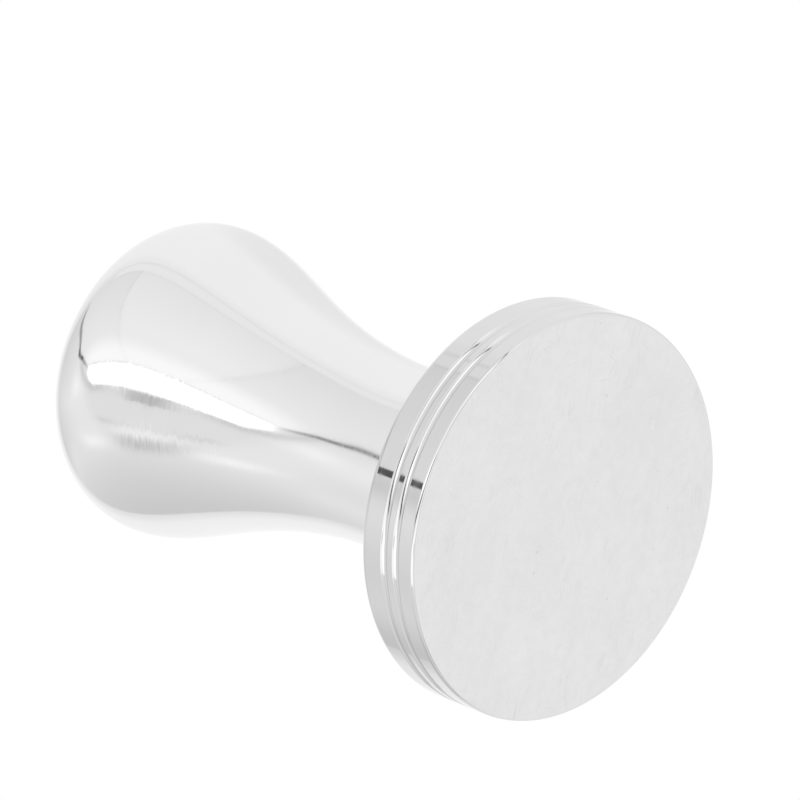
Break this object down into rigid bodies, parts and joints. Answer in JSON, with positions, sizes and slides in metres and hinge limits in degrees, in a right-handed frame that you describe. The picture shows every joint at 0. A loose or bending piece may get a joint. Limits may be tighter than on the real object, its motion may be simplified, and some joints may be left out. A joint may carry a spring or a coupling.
{
  "type": "espresso tamper",
  "caption": "Solid metal espresso tamper: a flat round base with grooved side, and a polished bulb grip that unscrews from it on a central stud.",
  "frame": {"origin": "centre of the flat tamping face", "axes": "+Z along the tamper's axis from the tamping face to the grip; the body is turned, so X and Y are any two directions across it"},
  "size_m": [0.058, 0.058, 0.0873],
  "materials": {
    "turned_steel": "stainless steel, side turned bright, tamping face satin with fine handling scratches",
    "polished_steel": "stainless steel, mirror polished, faint polishing lines around the axis",
    "zinc_steel": "plain steel set screw, zinc plated",
    "seal_rubber": "black nitrile, dull"
  },
  "bodies": {
    "base": {"tamper_base": "turned_steel"},
    "seal": {"o_ring": "seal_rubber"},
    "handle": {"handle": "polished_steel", "threaded_stud": "zinc_steel"}
  },
  "joints": [
    {"name": "handle_unscrew", "type": "hinge", "parent": "base", "child": "seal", "pos_m": [0, 0, 0.0128], "axis": [0, 0, 1], "range_deg": [0, 2160]},
    {"name": "handle_rise", "type": "slide", "parent": "seal", "child": "handle", "axis": [0, 0, 1], "range_m": [0, 0.0075]}
  ],
  "couplings": [
    {"joint": "handle_unscrew", "follows": "handle_rise", "rad_per_m": 5026.5}
  ]
}
